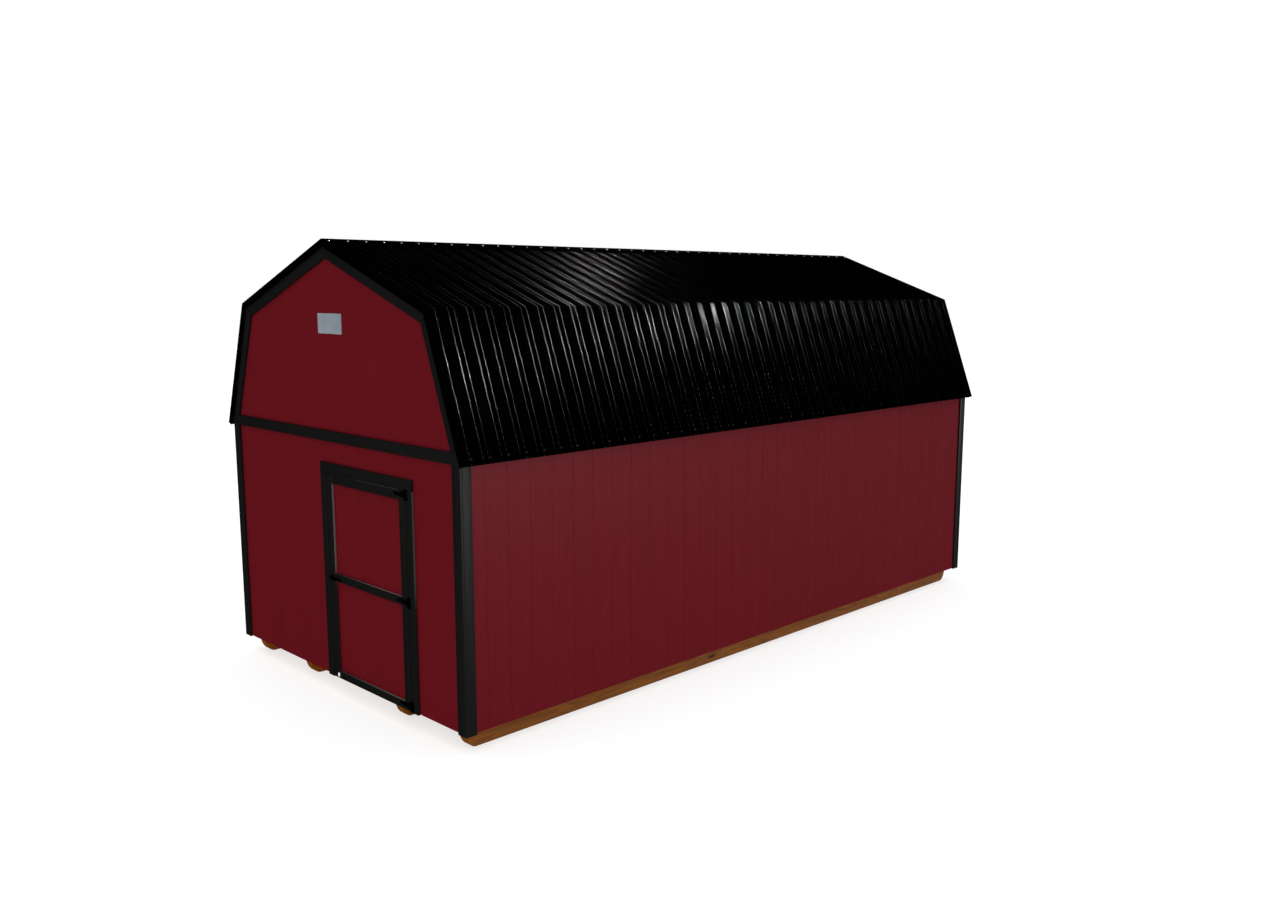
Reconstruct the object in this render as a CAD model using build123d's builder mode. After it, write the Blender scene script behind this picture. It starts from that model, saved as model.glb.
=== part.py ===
from build123d import *
import os
from math import hypot

# Lofted barn: a gambrel-roofed timber utility building on four skids.
# Millimetres. +X to the right when facing the front gable, +Y from the front
# gable (y = -LENGTH/2) to the back gable, +Z up. The origin is on the level
# floor that the skids rest on, under the middle of the building.

os.makedirs("parts", exist_ok=True)

# ---- driving dimensions -------------------------------------------------
WIDTH = 3610.0            # outer face to outer face of the side siding
LENGTH = 7340.0           # outer face to outer face of the gable siding
SIDING_T = 12.0           # panel siding
SIDING_BOTTOM = 161.0
STUD_W, STUD_D = 38.0, 89.0
TRIM_T = 19.0             # corner boards, casings, belt and rake boards
TRIM_W = 89.0

SKID_W, SKID_H = 89.0, 165.0
SKID_X = (-1650.0, -751.0, 751.0, 1650.0)
SKID_SETBACK = 68.0       # from the gable face to the skid's upper end corner
SKID_NOSE = (102.0, 155.0)  # length and height of the rounded end

JOIST_H = 89.0
DECK_T = 16.0
JOIST_PITCH = 406.4
FLOOR_TOP = SKID_H + JOIST_H + DECK_T

WALL_TOP = 2340.0         # top of the side walls' upper plate
PLATE = 38.0

EAVE = (1902.0, 2263.0)   # outer corner of the roof edge (x, z)
KNEE = (1485.0, 3403.0)   # where the two slopes meet
RIDGE_Z = 3948.0
ROOF_T = 58.0             # flashing top to purlin underside, square to the slope
RAFTER_D = 89.0
OVERHANG = 37.0           # roof edge past each gable face
RIB_PITCH = 174.6
RIB_COUNT = 43
RIB_BASE, RIB_TOP, RIB_H = 88.0, 65.0, 19.0
SHEET_T = 1.6
FLASH_T = 2.0
RAKE_LEG = 62.0
RIDGE_LEG = 150.0
RAFTER_COUNT = 13
PURLIN_LOWER = (52.0, 420.0, 788.0, 1136.0)
PURLIN_UPPER = (78.0, 433.0, 790.0, 1148.0, 1506.0)

BELT_Z = (2254.0, 2347.0)

DOOR_X = (-119.0, 1088.0)         # leaf edges
DOOR_Z = (161.0, 1974.0)
OPEN_X = (-125.0, 1093.0)         # clear opening between the casings
OPEN_TOP = 1979.0
STILE_W = 89.0
TOP_RAIL_Z = (1895.0, 1974.0)
MID_RAIL_Z = (1036.0, 1105.0)
LOW_RAIL_Z = (161.0, 228.0)
HINGE_X = 1090.5
HINGE_DY = 7.0                    # pin centre in front of the trim face
HINGE_Z = (206.0, 1070.0, 1944.0)
PIN_R, PIN_CLEAR = 4.0, 0.15
KNUCKLE_R = 6.5
HINGE_T = 3.0
LATCH_X, LATCH_Z = -80.0, 1063.0

# ---- derived ------------------------------------------------------------
XW = WIDTH / 2
YF = -LENGTH / 2                  # front gable face
YB = LENGTH / 2
XI = XW - SIDING_T                # inner face of the side siding
YI = YB - SIDING_T                # inner face of the gable siding
XS = XI - STUD_D                  # inner face of the side studs
YS = YI - STUD_D
Y_TRIM = YF - TRIM_T              # front face of the front trim
Y_HINGE = Y_TRIM - HINGE_DY
ROOF_Y = YB + OVERHANG
RIDGE = (0.0, RIDGE_Z)

low_len = hypot(KNEE[0] - EAVE[0], KNEE[1] - EAVE[1])
up_len = hypot(RIDGE[0] - KNEE[0], RIDGE[1] - KNEE[1])
d1 = ((KNEE[0] - EAVE[0]) / low_len, (KNEE[1] - EAVE[1]) / low_len)
d2 = ((RIDGE[0] - KNEE[0]) / up_len, (RIDGE[1] - KNEE[1]) / up_len)
n1 = (d1[1], -d1[0])              # outward normal of the steep slope
n2 = (d2[1], -d2[0])              # outward normal of the shallow slope


def low(s, t):
    """Point s up the steep slope from the eave, t in from the outer surface."""
    return (EAVE[0] + s * d1[0] - t * n1[0], EAVE[1] + s * d1[1] - t * n1[1])


def up(s, t):
    """Point s up the shallow slope from the knee, t in from the surface."""
    return (KNEE[0] + s * d2[0] - t * n2[0], KNEE[1] + s * d2[1] - t * n2[1])


def knee(t):
    """Mitre point of the two slopes, t in from the outer surface."""
    bx, bz = n1[0] + n2[0], n1[1] + n2[1]
    k = 2 * t / (bx * bx + bz * bz)
    return (KNEE[0] - bx * k, KNEE[1] - bz * k)


def ridge(t, x=0.0):
    """Point on the shallow slope's inner offset at half-width x."""
    x0, z0 = up(0, t)
    s = (x0 - x) / -d2[0]
    return (x, z0 + s * d2[1])


def low_at_x(x, t):
    x0, z0 = low(0, t)
    return (x, z0 + (x0 - x) / -d1[0] * d1[1])


def low_at_z(z, t):
    x0, z0 = low(0, t)
    return (x0 + (z - z0) / d1[1] * d1[0], z)


def side(points, sx):
    return [(sx * x, z) for x, z in points]


def save(piece, label):
    piece.part.label = label
    export_step(piece.part, f"parts/{label}.step")


SIDES = (("left", -1), ("right", 1))
# Gable-end planes: a sketch on Plane.XZ is read as (x, z); its normal is -Y.
GABLES = (("front", -1), ("back", 1))


def gable_plane(gy, depth_from_face, thick):
    """Plane whose extrusion of `thick` fills from depth_from_face inwards
    (negative is outwards) behind the gable face on side gy."""
    y_a = gy * (YB - depth_from_face)
    y_b = gy * (YB - depth_from_face - thick)
    return Plane.XZ.offset(-max(y_a, y_b))


# ---- floor --------------------------------------------------------------
# four long skids with rounded lower ends
with BuildPart() as skids:
    for x in SKID_X:
        with BuildSketch(Plane.YZ.offset(x - SKID_W / 2)):
            end = LENGTH / 2 - SKID_SETBACK
            with Locations((0, SKID_H / 2)):
                Rectangle(2 * (end - SKID_NOSE[0]), SKID_H)
            with Locations((0, (SKID_NOSE[1] + SKID_H) / 2)):
                Rectangle(2 * end, SKID_H - SKID_NOSE[1])
            with Locations((SKID_NOSE[0] - end, SKID_NOSE[1]), (end - SKID_NOSE[0], SKID_NOSE[1])):
                Ellipse(*SKID_NOSE)
            with Locations((0, SKID_H / 2)):
                Rectangle(2 * end, SKID_H, mode=Mode.INTERSECT)
        extrude(amount=SKID_W)
save(skids, "skids")

# joists and rims, set back behind the door leaf
with BuildPart() as floor_frame:
    with BuildSketch(Plane.XY.offset(SKID_H)):
        with Locations((XI - STUD_W / 2, 0), (-XI + STUD_W / 2, 0)):
            Rectangle(STUD_W, 2 * YI)
        joist_y = [-YI + STUD_W / 2 + k * JOIST_PITCH for k in range(18)]
        joist_y.append(YI - STUD_W / 2)
        with Locations(*[(0, y) for y in joist_y]):
            Rectangle(2 * XI, STUD_W)
    extrude(amount=JOIST_H)
    with BuildSketch(Plane.XY.offset(SKID_H - 1)):
        with Locations(((OPEN_X[0] + OPEN_X[1]) / 2, -YI)):
            Rectangle(OPEN_X[1] - OPEN_X[0] + 12, 16)
    extrude(amount=JOIST_H + 2, mode=Mode.SUBTRACT)
save(floor_frame, "floor_frame")

with BuildPart() as floor_deck:
    with BuildSketch(Plane.XY.offset(SKID_H + JOIST_H)):
        Rectangle(2 * XI, 2 * YI)
        with Locations(((OPEN_X[0] + OPEN_X[1]) / 2, -YI)):
            Rectangle(OPEN_X[1] - OPEN_X[0] + 12, 16, mode=Mode.SUBTRACT)
    extrude(amount=DECK_T)
save(floor_deck, "floor_deck")

# ---- side walls -----------------------------------------------------------
for name, sx in SIDES:
    x0 = XI if sx > 0 else -XW
    with BuildPart() as wall_siding:
        with BuildSketch(Plane.YZ.offset(x0)):
            with Locations((0, (SIDING_BOTTOM + WALL_TOP) / 2)):
                Rectangle(2 * YI, WALL_TOP - SIDING_BOTTOM)
        extrude(amount=SIDING_T)
    save(wall_siding, f"{name}_wall_siding")

    x0 = XS if sx > 0 else -XI
    with BuildPart() as wall_studs:
        with BuildSketch(Plane.YZ.offset(x0)):
            with Locations((0, FLOOR_TOP + PLATE / 2)):
                Rectangle(2 * YI, PLATE)
            with Locations((0, WALL_TOP - PLATE)):
                Rectangle(2 * YI, 2 * PLATE)
            stud_y = [-YI + STUD_W / 2 + k * JOIST_PITCH for k in range(18)]
            stud_y.append(YI - STUD_W / 2)
            with Locations(*[(y, (FLOOR_TOP + WALL_TOP) / 2) for y in stud_y]):
                Rectangle(STUD_W, WALL_TOP - FLOOR_TOP - 10)
        extrude(amount=STUD_D)
    save(wall_studs, f"{name}_wall_studs")

# ---- gable walls ----------------------------------------------------------
SPLIT_Z = (BELT_Z[0] + BELT_Z[1]) / 2     # panel joint behind the belt board

gable_outline = [
    (-XW, SPLIT_Z), (XW, SPLIT_Z), low_at_x(XW, ROOF_T), knee(ROOF_T),
    ridge(ROOF_T), *side([knee(ROOF_T), low_at_x(XW, ROOF_T)], -1),
]

# front: panels beside and over the doorway, then the gable panel
with BuildPart() as front_siding_left:
    with BuildSketch(gable_plane(-1, 0, SIDING_T)):
        with Locations(((-XW + OPEN_X[0]) / 2, (SIDING_BOTTOM + SPLIT_Z) / 2)):
            Rectangle(OPEN_X[0] + XW, SPLIT_Z - SIDING_BOTTOM)
    extrude(amount=SIDING_T)
save(front_siding_left, "front_siding_left")

with BuildPart() as front_siding_right:
    with BuildSketch(gable_plane(-1, 0, SIDING_T)):
        with Locations(((XW + OPEN_X[1]) / 2, (SIDING_BOTTOM + SPLIT_Z) / 2)):
            Rectangle(XW - OPEN_X[1], SPLIT_Z - SIDING_BOTTOM)
    extrude(amount=SIDING_T)
save(front_siding_right, "front_siding_right")

with BuildPart() as front_siding_over_door:
    with BuildSketch(gable_plane(-1, 0, SIDING_T)):
        with Locations(((OPEN_X[0] + OPEN_X[1]) / 2, (OPEN_TOP + SPLIT_Z) / 2)):
            Rectangle(OPEN_X[1] - OPEN_X[0], SPLIT_Z - OPEN_TOP)
    extrude(amount=SIDING_T)
save(front_siding_over_door, "front_siding_over_door")

with BuildPart() as front_gable_siding:
    with BuildSketch(gable_plane(-1, 0, SIDING_T)):
        Polygon(*gable_outline, align=None)
    extrude(amount=SIDING_T)
save(front_gable_siding, "front_gable_siding")

# back: one wall panel and one gable panel
with BuildPart() as back_wall_siding:
    with BuildSketch(gable_plane(1, 0, SIDING_T)):
        with Locations((0, (SIDING_BOTTOM + SPLIT_Z) / 2)):
            Rectangle(WIDTH, SPLIT_Z - SIDING_BOTTOM)
    extrude(amount=SIDING_T)
save(back_wall_siding, "back_wall_siding")

with BuildPart() as back_gable_siding:
    with BuildSketch(gable_plane(1, 0, SIDING_T)):
        Polygon(*gable_outline, align=None)
    extrude(amount=SIDING_T)
save(back_gable_siding, "back_gable_siding")

# wall framing between the side walls
with BuildPart() as front_wall_studs:
    with BuildSketch(gable_plane(-1, SIDING_T, STUD_D)):
        for xa, xb, studs in (
            (-XS, OPEN_X[0], (-1480.0, -1074.0, -667.0, -350.0)),
            (OPEN_X[1], XS, (1480.0,)),
        ):
            with Locations(((xa + xb) / 2, FLOOR_TOP + PLATE / 2)):
                Rectangle(xb - xa, PLATE)
            with Locations(((xa + xb) / 2, WALL_TOP - PLATE * 1.5)):
                Rectangle(xb - xa, PLATE)
            xs = [xa + STUD_W / 2, *studs, xb - STUD_W / 2]
            top = WALL_TOP - PLATE
            with Locations(*[(x, (FLOOR_TOP + top) / 2) for x in xs]):
                Rectangle(STUD_W, top - FLOOR_TOP)
    extrude(amount=STUD_D)
save(front_wall_studs, "front_wall_studs")

HEADER_Z = (1989.0, 2129.0)
with BuildPart() as door_header:
    with BuildSketch(gable_plane(-1, SIDING_T, STUD_D)):
        mx = (OPEN_X[0] + OPEN_X[1]) / 2
        with Locations((mx, sum(HEADER_Z) / 2)):
            Rectangle(OPEN_X[1] - OPEN_X[0] - 0.4, HEADER_Z[1] - HEADER_Z[0])
        top = WALL_TOP - PLATE
        with Locations(*[(mx + dx, (HEADER_Z[1] + top) / 2) for dx in (-400, 0, 400)]):
            Rectangle(STUD_W, top - HEADER_Z[1])
    extrude(amount=STUD_D)
save(door_header, "door_header")

with BuildPart() as back_wall_studs:
    with BuildSketch(gable_plane(1, SIDING_T, STUD_D)):
        with Locations((0, FLOOR_TOP + PLATE / 2)):
            Rectangle(2 * XS, PLATE)
        with Locations((0, WALL_TOP - PLATE * 1.5)):
            Rectangle(2 * XS, PLATE)
        top = WALL_TOP - PLATE
        xs = [-XS + STUD_W / 2, *[k * 406.4 for k in range(-4, 5)], XS - STUD_W / 2]
        with Locations(*[(x, (FLOOR_TOP + top) / 2) for x in xs]):
            Rectangle(STUD_W, top - FLOOR_TOP)
    extrude(amount=STUD_D)
save(back_wall_studs, "back_wall_studs")

# gable framing: a plate across and studs up to the end rafters
GABLE_IN = ROOF_T + RAFTER_D + 1.0
for name, gy in GABLES:
    with BuildPart() as gable_studs:
        with BuildSketch(gable_plane(gy, SIDING_T, STUD_D)):
            with Locations((0, WALL_TOP - PLATE / 2)):
                Rectangle(2 * XS - 0.4, PLATE)
            for x in [k * 406.4 for k in range(-4, 5)]:
                ax = abs(x) + STUD_W / 2
                if ax < knee(GABLE_IN)[0]:
                    z_top = ridge(GABLE_IN, ax)[1]
                else:
                    z_top = low_at_x(ax, GABLE_IN)[1]
                if x == 0:
                    z_top = ridge(ROOF_T, 12.5)[1] - 142
                if z_top - WALL_TOP < 40:
                    continue
                with Locations((x, (WALL_TOP - 1 + z_top) / 2)):
                    Rectangle(STUD_W, z_top - WALL_TOP + 1)
        extrude(amount=STUD_D)
    save(gable_studs, f"{name}_gable_studs")

# ---- roof structure ---------------------------------------------------------
IN0, IN1 = ROOF_T, ROOF_T + RAFTER_D
rafter_y = [-YI + STUD_W + (k * (2 * YI - STUD_W) / (RAFTER_COUNT - 1)) for k in range(RAFTER_COUNT)]
RIDGE_BOARD = 25.0
lower_rafter = [
    low_at_z(WALL_TOP, IN1), (XI, WALL_TOP), low_at_x(XI, IN0), knee(IN0), knee(IN1),
]
upper_rafter = [
    knee(IN1), knee(IN0), ridge(IN0, RIDGE_BOARD / 2), ridge(IN1, RIDGE_BOARD / 2),
]
upper_rafter = [
    (up(0.4, 0)[0] - KNEE[0] + p[0], up(0.4, 0)[1] - KNEE[1] + p[1]) if i < 2 else p
    for i, p in enumerate(upper_rafter)
]
gusset = [
    low(low_len - 330, IN0 + 6), low(low_len - 330, IN1 - 4),
    knee(IN1 + 60), up(330, IN1 - 4), up(330, IN0 + 6), knee(IN0 + 6),
]

for name, sx in SIDES:
    with BuildPart() as lower_rafters:
        for y in rafter_y:
            with BuildSketch(Plane.XZ.offset(-y)):
                Polygon(*side(lower_rafter, sx), align=None)
            extrude(amount=STUD_W)
    save(lower_rafters, f"{name}_lower_rafters")

    with BuildPart() as upper_rafters:
        for y in rafter_y:
            with BuildSketch(Plane.XZ.offset(-y)):
                Polygon(*side(upper_rafter, sx), align=None)
            extrude(amount=STUD_W)
    save(upper_rafters, f"{name}_upper_rafters")

    # flat-laid boards that carry the metal sheets, one lattice a slope
    with BuildPart() as lower_purlins:
        for s in PURLIN_LOWER:
            a, b = s - TRIM_W / 2, s + TRIM_W / 2
            with BuildSketch(Plane.XZ.offset(-(ROOF_Y - 6))):
                Polygon(*side([low(a, 23), low(b, 23), low(b, ROOF_T), low(a, ROOF_T)], sx), align=None)
            extrude(amount=2 * (ROOF_Y - 6))
    save(lower_purlins, f"{name}_lower_purlins")

    with BuildPart() as upper_purlins:
        for s in PURLIN_UPPER:
            a, b = s - TRIM_W / 2, s + TRIM_W / 2
            with BuildSketch(Plane.XZ.offset(-(ROOF_Y - 6))):
                Polygon(*side([up(a, 23), up(b, 23), up(b, ROOF_T), up(a, ROOF_T)], sx), align=None)
            extrude(amount=2 * (ROOF_Y - 6))
    save(upper_purlins, f"{name}_upper_purlins")

# plywood plates over the knee joint of each inner rafter pair
with BuildPart() as knee_gussets:
    for sx in (-1, 1):
        for y in rafter_y[1:-1]:
            with BuildSketch(Plane.XZ.offset(-(y + SIDING_T))):
                Polygon(*side(gusset, sx), align=None)
            extrude(amount=SIDING_T)
save(knee_gussets, "knee_gussets")

with BuildPart() as ridge_board:
    zt = ridge(IN0, RIDGE_BOARD / 2)[1] - 1
    with BuildSketch(Plane.XZ.offset(-YI)):
        with Locations((0, zt - 70)):
            Rectangle(RIDGE_BOARD - 0.6, 140)
    extrude(amount=2 * YI)
save(ridge_board, "ridge_board")

# ---- ribbed roof sheets -------------------------------------------------------
# section across the sheet: u along the building, v out of the slope
SHEET_Y = ROOF_Y - 2.5
first_rib = -(RIB_COUNT - 1) / 2 * RIB_PITCH
v_pan = -(FLASH_T + RIB_H)
v_top = -FLASH_T
top_line = [(-SHEET_Y, v_pan)]
for k in range(RIB_COUNT):
    u = first_rib + k * RIB_PITCH
    # the end ribs are folded down short, so that they stay on the sheet
    top_line += [
        (max(u - RIB_BASE / 2, -SHEET_Y + 1), v_pan), (u - RIB_TOP / 2, v_top),
        (u + RIB_TOP / 2, v_top), (min(u + RIB_BASE / 2, SHEET_Y - 1), v_pan),
    ]
top_line.append((SHEET_Y, v_pan))
under = []
for i, (u, v) in enumerate(top_line):
    if v == v_top:
        # inside of the crown, moved in so that the rib walls keep their thickness
        sign = 1 if top_line[i - 1][1] == v_pan else -1
        under.append((u + sign * SHEET_T * 0.55, v - SHEET_T))
    elif i in (0, len(top_line) - 1):
        under.append((u, v - SHEET_T))
    else:
        sign = 1 if top_line[i + 1][1] == v_top else -1
        under.append((u + sign * SHEET_T * 0.55, v - SHEET_T))
sheet_section = top_line + under[::-1]

for name, sx in SIDES:
    for part_name, origin, d, n, length in (
        ("lower", EAVE, d1, n1, low_len), ("upper", KNEE, d2, n2, up_len),
    ):
        run = Vector(sx * d[0], 0, d[1])
        out = Vector(sx * n[0], 0, n[1])
        across = out.cross(run)
        start = -60.0 if part_name == "upper" else 1.0
        base = Vector(sx * origin[0], 0, origin[1]) + run * start
        with BuildPart() as roofing:
            with BuildSketch(Plane(origin=base, x_dir=across, z_dir=run)) as section:
                Polygon(*sheet_section, align=None)
            extrude(amount=length - start + (60 if part_name == "lower" else -10))
            # mitre at the knee, 0.3 mm short of the cut plane
            cut_n = Vector(sx * (d1[0] + d2[0]), 0, d1[1] + d2[1]).normalized()
            shift = -0.3 if part_name == "lower" else 0.3
            cut_o = Vector(sx * KNEE[0], 0, KNEE[1]) + cut_n * shift
            split(
                bisect_by=Plane(origin=cut_o, x_dir=(0, 1, 0), z_dir=cut_n),
                keep=Keep.BOTTOM if part_name == "lower" else Keep.TOP,
            )
        save(roofing, f"{name}_{part_name}_roofing")

# ridge cap: bent sheet lying on the ribs
with BuildPart() as ridge_cap:
    a = up_len - RIDGE_LEG
    with BuildSketch(Plane.XZ.offset(-ROOF_Y)):
        Polygon(
            up(a, 0), RIDGE, (-up(a, 0)[0], up(a, 0)[1]),
            (-up(a, FLASH_T)[0], up(a, FLASH_T)[1]), ridge(FLASH_T), up(a, FLASH_T),
            align=None,
        )
    extrude(amount=2 * ROOF_Y)
save(ridge_cap, "ridge_cap")

# rake flashings: bent angles over the roof edge, four lengths a gable
for name, gy in GABLES:
    y_out = gy * ROOF_Y
    with BuildPart() as rake_flashing:
        for sx in (-1, 1):
            for face, top in (
                (
                    [low(0, 0.2), low(low_len - 0.5, 0.2), knee(ROOF_T), low(0, ROOF_T)],
                    [low(0, 0), low(low_len - 0.5, 0), low(low_len - 1.6, FLASH_T), low(0, FLASH_T)],
                ),
                (
                    [up(0.5, 0.2), up(up_len - RIDGE_LEG - 0.5, 0.2), up(up_len - RIDGE_LEG - 0.5, FLASH_T + 0.4),
                     ridge(FLASH_T + 0.4, 0.3), ridge(ROOF_T, 0.3), up(30, ROOF_T)],
                    [up(0.5, 0), up(up_len - RIDGE_LEG - 0.5, 0), up(up_len - RIDGE_LEG - 0.5, FLASH_T), up(1.6, FLASH_T)],
                ),
            ):
                if face[2] == knee(ROOF_T):
                    face = [*face[:2], low(low_len - 27.4, ROOF_T), face[3]]
                ya = max(y_out, y_out - gy * FLASH_T)
                with BuildSketch(Plane.XZ.offset(-ya)):
                    Polygon(*side(face, sx), align=None)
                extrude(amount=FLASH_T)
                ya = max(y_out, y_out - gy * RAKE_LEG)
                with BuildSketch(Plane.XZ.offset(-ya)):
                    Polygon(*side(top, sx), align=None)
                extrude(amount=RAKE_LEG)
    save(rake_flashing, f"{name}_rake_flashing")

# ---- gable trim -----------------------------------------------------------------
T0 = ROOF_T + 0.5
T1 = ROOF_T + TRIM_W
for name, gy in GABLES:
    trim = gable_plane(gy, -TRIM_T, TRIM_T)
    with BuildPart() as rake_boards:
        for sx in (-1, 1):
            with BuildSketch(trim):
                Polygon(
                    *side([low_at_z(BELT_Z[1] + 0.5, T1), low_at_z(BELT_Z[1] + 0.5, T0),
                           low(low_len - T0 * 0.4637 - 0.4, T0), low(low_len - T1 * 0.4637 - 0.4, T1)], sx),
                    align=None,
                )
            extrude(amount=TRIM_T)
            with BuildSketch(trim):
                Polygon(
                    *side([up(T1 * 0.4637 + 0.4, T1), up(T0 * 0.4637 + 0.4, T0),
                           ridge(T0, 0.4), ridge(T1, 0.4)], sx),
                    align=None,
                )
            extrude(amount=TRIM_T)
    save(rake_boards, f"{name}_rake_boards")

    with BuildPart() as belt_board:
        zb, zt = BELT_Z
        xb = XW + TRIM_T
        xt = low_at_z(zt, T0)[0]
        zc = low_at_x(xb, T0)[1]
        with BuildSketch(trim):
            Polygon((-xb, zb), (xb, zb), (xb, zc), (xt, zt), (-xt, zt), (-xb, zc), align=None)
        extrude(amount=TRIM_T)
    save(belt_board, f"{name}_belt_board")

    # L-shaped corner boards, one pair a gable
    with BuildPart() as corner_boards:
        for sx in (-1, 1):
            leg = TRIM_W + TRIM_T - 4
            x_out, x_in = sx * (XW + TRIM_T), sx * XW
            y_out2, y_in = gy * (YB + TRIM_T), gy * YB
            with BuildSketch(Plane.XY.offset(SIDING_BOTTOM - 6)):
                Polygon(
                    (x_out, y_out2), (x_out - sx * leg, y_out2), (x_out - sx * leg, y_in + gy * 0.2),
                    (x_in + sx * 0.2, y_in + gy * 0.2), (x_in + sx * 0.2, y_out2 - gy * leg),
                    (x_out, y_out2 - gy * leg), align=None,
                )
            extrude(amount=BELT_Z[0] - 0.5 - SIDING_BOTTOM + 6)
            with BuildSketch(Plane.XY.offset(BELT_Z[0] - 20)):
                Polygon(
                    (x_out, y_in), (x_in + sx * 0.2, y_in), (x_in + sx * 0.2, y_out2 - gy * leg),
                    (x_out, y_out2 - gy * leg), align=None,
                )
            extrude(amount=zc - 3 - BELT_Z[0] + 20)
    save(corner_boards, f"{name}_corner_boards")

# small bare plate high on the front gable
with BuildPart() as gable_plate:
    with BuildSketch(gable_plane(-1, -4, 4)):
        with Locations((18, 3251)):
            RectangleRounded(380, 170, 8)
    extrude(amount=4)
save(gable_plate, "gable_plate")

# ---- door casing ------------------------------------------------------------------
case_plane = gable_plane(-1, -TRIM_T, TRIM_T)
with BuildPart() as door_casing_left:
    with BuildSketch(case_plane):
        with Locations((OPEN_X[0] - TRIM_W / 2, (SIDING_BOTTOM - 6 + OPEN_TOP) / 2)):
            Rectangle(TRIM_W, OPEN_TOP - SIDING_BOTTOM + 6)
    extrude(amount=TRIM_T)
save(door_casing_left, "door_casing_left")

with BuildPart() as door_casing_right:
    with BuildSketch(case_plane):
        with Locations((OPEN_X[1] + TRIM_W / 2, (SIDING_BOTTOM - 6 + OPEN_TOP) / 2)):
            Rectangle(TRIM_W, OPEN_TOP - SIDING_BOTTOM + 6)
    extrude(amount=TRIM_T)
save(door_casing_right, "door_casing_right")

with BuildPart() as door_casing_top:
    with BuildSketch(case_plane):
        with Locations(((OPEN_X[0] + OPEN_X[1]) / 2, OPEN_TOP + 0.4 + TRIM_W / 2)):
            Rectangle(OPEN_X[1] - OPEN_X[0] + 2 * TRIM_W, TRIM_W)
    extrude(amount=TRIM_T)
save(door_casing_top, "door_casing_top")

# ---- door leaf ----------------------------------------------------------------------
door_mx = (DOOR_X[0] + DOOR_X[1]) / 2
door_w = DOOR_X[1] - DOOR_X[0]
SPINDLE_R = 8.0

with BuildPart() as door_panel:
    with BuildSketch(gable_plane(-1, 0, SIDING_T)):
        with Locations((door_mx, sum(DOOR_Z) / 2)):
            Rectangle(door_w, DOOR_Z[1] - DOOR_Z[0])
    extrude(amount=SIDING_T)
save(door_panel, "door_panel")

# frame boards behind the skin, above the floor, with a middle rail
FRAME_Y = 25.0
FX = (DOOR_X[0] + 5, DOOR_X[1] - 5)
FZ = (FLOOR_TOP + 10, DOOR_Z[1] - 5)
with BuildPart() as door_frame:
    with BuildSketch(gable_plane(-1, SIDING_T, FRAME_Y)):
        with Locations((FX[0] + TRIM_W / 2, sum(FZ) / 2), (FX[1] - TRIM_W / 2, sum(FZ) / 2)):
            Rectangle(TRIM_W, FZ[1] - FZ[0])
        for z in (FZ[0] + TRIM_W / 2, sum(MID_RAIL_Z) / 2, FZ[1] - TRIM_W / 2):
            with Locations((sum(FX) / 2, z)):
                Rectangle(FX[1] - FX[0] - 2 * TRIM_W - 0.4, TRIM_W)
    extrude(amount=FRAME_Y)
save(door_frame, "door_frame")

with BuildPart() as door_stiles:
    with BuildSketch(case_plane):
        with Locations((DOOR_X[0] + STILE_W / 2, sum(DOOR_Z) / 2), (DOOR_X[1] - STILE_W / 2, sum(DOOR_Z) / 2)):
            Rectangle(STILE_W, DOOR_Z[1] - DOOR_Z[0])
        with Locations((LATCH_X, LATCH_Z)):
            Circle(SPINDLE_R + 1.0, mode=Mode.SUBTRACT)
    extrude(amount=TRIM_T)
save(door_stiles, "door_stiles")

with BuildPart() as door_rails:
    with BuildSketch(case_plane):
        for z0, z1 in (LOW_RAIL_Z, MID_RAIL_Z, TOP_RAIL_Z):
            with Locations((door_mx, (z0 + z1) / 2)):
                Rectangle(door_w - 2 * STILE_W - 0.4, z1 - z0)
    extrude(amount=TRIM_T)
save(door_rails, "door_rails")

# ---- T-hinges -------------------------------------------------------------------------
LEAF_H = 88.0             # tall leaf on the casing
LEAF_W = 34.0
STRAP_H = 44.0            # strap height at the knuckle
STRAP_L = 160.0
MID_GAP = 0.8
trim_plane_y = Y_TRIM

with BuildPart() as hinge_leaves:
    for z in HINGE_Z:
        # leaf screwed to the casing, notched round the middle knuckle
        with BuildSketch(Plane.XZ.offset(-trim_plane_y)):
            with Locations((HINGE_X + LEAF_W / 2, z)):
                Rectangle(LEAF_W, LEAF_H)
            with Locations((HINGE_X + 3.5, z)):
                Rectangle(9.0 + 1, STRAP_H + 2 * MID_GAP, mode=Mode.SUBTRACT)
        extrude(amount=HINGE_T)
        for z0, z1 in (
            (z - LEAF_H / 2, z - STRAP_H / 2 - MID_GAP), (z + STRAP_H / 2 + MID_GAP, z + LEAF_H / 2),
        ):
            with BuildSketch(Plane.XY.offset(z0)):
                with Locations((HINGE_X, Y_HINGE)):
                    Circle(KNUCKLE_R)
            extrude(amount=z1 - z0)
        with BuildSketch(Plane.XY.offset(z - LEAF_H / 2 + 2)):
            with Locations((HINGE_X, Y_HINGE)):
                Circle(PIN_R)
        extrude(amount=LEAF_H - 4)
save(hinge_leaves, "hinge_leaves")

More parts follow.
